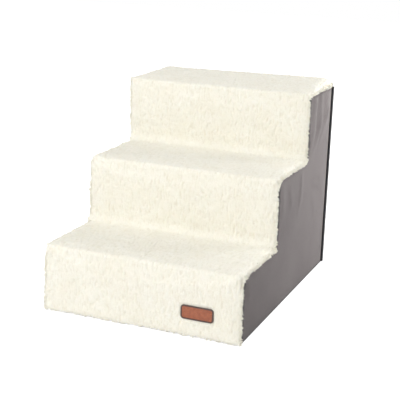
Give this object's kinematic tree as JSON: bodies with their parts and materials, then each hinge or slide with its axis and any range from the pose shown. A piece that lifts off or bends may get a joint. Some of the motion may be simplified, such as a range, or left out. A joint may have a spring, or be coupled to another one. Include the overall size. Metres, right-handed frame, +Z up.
{
  "type": "pet stairs",
  "caption": "Low folding steps for a small pet, fleece-covered treads and risers on fabric-hinged boards, with cloth side panels that open outwards.",
  "frame": {"origin": "centre of the footprint, on the floor under the rubber pads", "axes": "+Z up; the front of the stairs, where the pet steps on, faces -Y and the steps climb towards +Y; +X is to the right seen from the front"},
  "size_m": [0.391, 0.5254, 0.3945],
  "materials": {
    "cream_fleece": "deep curly sherpa pile, matte",
    "grey_polyester": "plain weave with a soft satin sheen, slightly creased",
    "fibreboard": "smooth hard fibreboard",
    "black_nonwoven": "black spun-bonded cloth with a dimpled grain",
    "black_binding": "ribbed black binding tape, stitched",
    "black_webbing": "flat black woven tape over a cord",
    "hook_and_loop": "black hook-and-loop tape with a selvedge",
    "pad_rubber": "matte soft rubber",
    "patch_rust": "close-woven rust-brown twill",
    "patch_brown": "dark brown satin-stitched border"
  },
  "bodies": {
    "base": {"base_board": "fibreboard", "base_sleeve": "black_nonwoven", "base_corner_bindings": "black_binding", "anti_slip_pads": "pad_rubber", "floor_hinge_tapes": "black_webbing", "side_hinge_tape_left": "black_webbing", "side_hinge_tape_right": "black_webbing"},
    "cross_1": {"cross_board_1": "fibreboard", "cross_sleeve_1": "black_nonwoven", "cross_hinge_tape_1": "black_webbing", "nose_hinge_tape_1": "black_webbing", "fleece_panel_1": "cream_fleece", "patch_field": "patch_rust", "patch_border": "patch_brown"},
    "cross_2": {"cross_board_2": "fibreboard", "cross_sleeve_2": "black_nonwoven", "cross_hinge_tape_2": "black_webbing", "nose_hinge_tape_2": "black_webbing", "fleece_panel_2": "cream_fleece"},
    "cross_3": {"cross_board_3": "fibreboard", "cross_sleeve_3": "black_nonwoven", "cross_hinge_tape_3": "black_webbing", "nose_hinge_tape_3": "black_webbing", "fleece_panel_3": "cream_fleece"},
    "tread_1": {"tread_board_1": "fibreboard", "tread_sleeve_1": "black_nonwoven", "tread_hinge_tape_1": "black_webbing", "tread_end_flaps_1": "black_webbing", "tread_hook_tapes_1": "hook_and_loop"},
    "tread_2": {"tread_board_2": "fibreboard", "tread_sleeve_2": "black_nonwoven", "tread_hinge_tape_2": "black_webbing", "tread_end_flaps_2": "black_webbing", "tread_hook_tapes_2": "hook_and_loop"},
    "tread_3": {"tread_board_3": "fibreboard", "tread_sleeve_3": "black_nonwoven", "tread_hinge_tape_3": "black_webbing", "tread_end_flaps_3": "black_webbing", "tread_hook_tapes_3": "hook_and_loop"},
    "back": {"back_board": "fibreboard", "back_sleeve": "black_nonwoven", "back_hinge_tape": "black_webbing", "back_binding_left": "black_binding", "back_binding_right": "black_binding"},
    "side_left": {"side_cover_left": "grey_polyester", "side_board_left": "fibreboard", "side_lining_left": "black_nonwoven", "side_loop_tapes_left": "hook_and_loop"},
    "side_right": {"side_cover_right": "grey_polyester", "side_board_right": "fibreboard", "side_lining_right": "black_nonwoven", "side_loop_tapes_right": "hook_and_loop"}
  },
  "joints": [
    {"name": "fold_back", "type": "hinge", "parent": "base", "child": "back", "pos_m": [0, 0.2616, 0.0097], "axis": [-1, 0, 0], "range_deg": [0, 83]},
    {"name": "fold_cross_1", "type": "hinge", "parent": "base", "child": "cross_1", "pos_m": [0, -0.2448, 0.0097], "axis": [-1, 0, 0], "range_deg": [0, 83]},
    {"name": "fold_cross_2", "type": "hinge", "parent": "base", "child": "cross_2", "pos_m": [0, -0.0708, 0.0097], "axis": [-1, 0, 0], "range_deg": [0, 83]},
    {"name": "fold_cross_3", "type": "hinge", "parent": "base", "child": "cross_3", "pos_m": [0, 0.1032, 0.0097], "axis": [-1, 0, 0], "range_deg": [0, 83]},
    {"name": "fold_tread_1", "type": "hinge", "parent": "cross_1", "child": "tread_1", "pos_m": [0, -0.2542, 0.1145], "axis": [1, 0, 0], "range_deg": [0, 83], "deforming": ["fleece_panel_1"]},
    {"name": "fold_tread_2", "type": "hinge", "parent": "cross_2", "child": "tread_2", "pos_m": [0, -0.0802, 0.246], "axis": [1, 0, 0], "range_deg": [0, 83], "deforming": ["fleece_panel_2"]},
    {"name": "fold_tread_3", "type": "hinge", "parent": "cross_3", "child": "tread_3", "pos_m": [0, 0.0938, 0.3775], "axis": [1, 0, 0], "range_deg": [0, 83], "deforming": ["fleece_panel_3"]},
    {"name": "side_right_open", "type": "hinge", "parent": "base", "child": "side_right", "pos_m": [0.1909, 0, 0.0015], "axis": [0, 1, 0], "range_deg": [0, 89]},
    {"name": "side_left_open", "type": "hinge", "parent": "base", "child": "side_left", "pos_m": [-0.1909, 0, 0.0015], "axis": [0, -1, 0], "range_deg": [0, 89]}
  ],
  "couplings": [
    {"joint": "fold_cross_1", "follows": "fold_back", "ratio": 1},
    {"joint": "fold_cross_2", "follows": "fold_back", "ratio": 1},
    {"joint": "fold_cross_3", "follows": "fold_back", "ratio": 1},
    {"joint": "fold_tread_1", "follows": "fold_back", "ratio": 1},
    {"joint": "fold_tread_2", "follows": "fold_back", "ratio": 1},
    {"joint": "fold_tread_3", "follows": "fold_back", "ratio": 1}
  ]
}
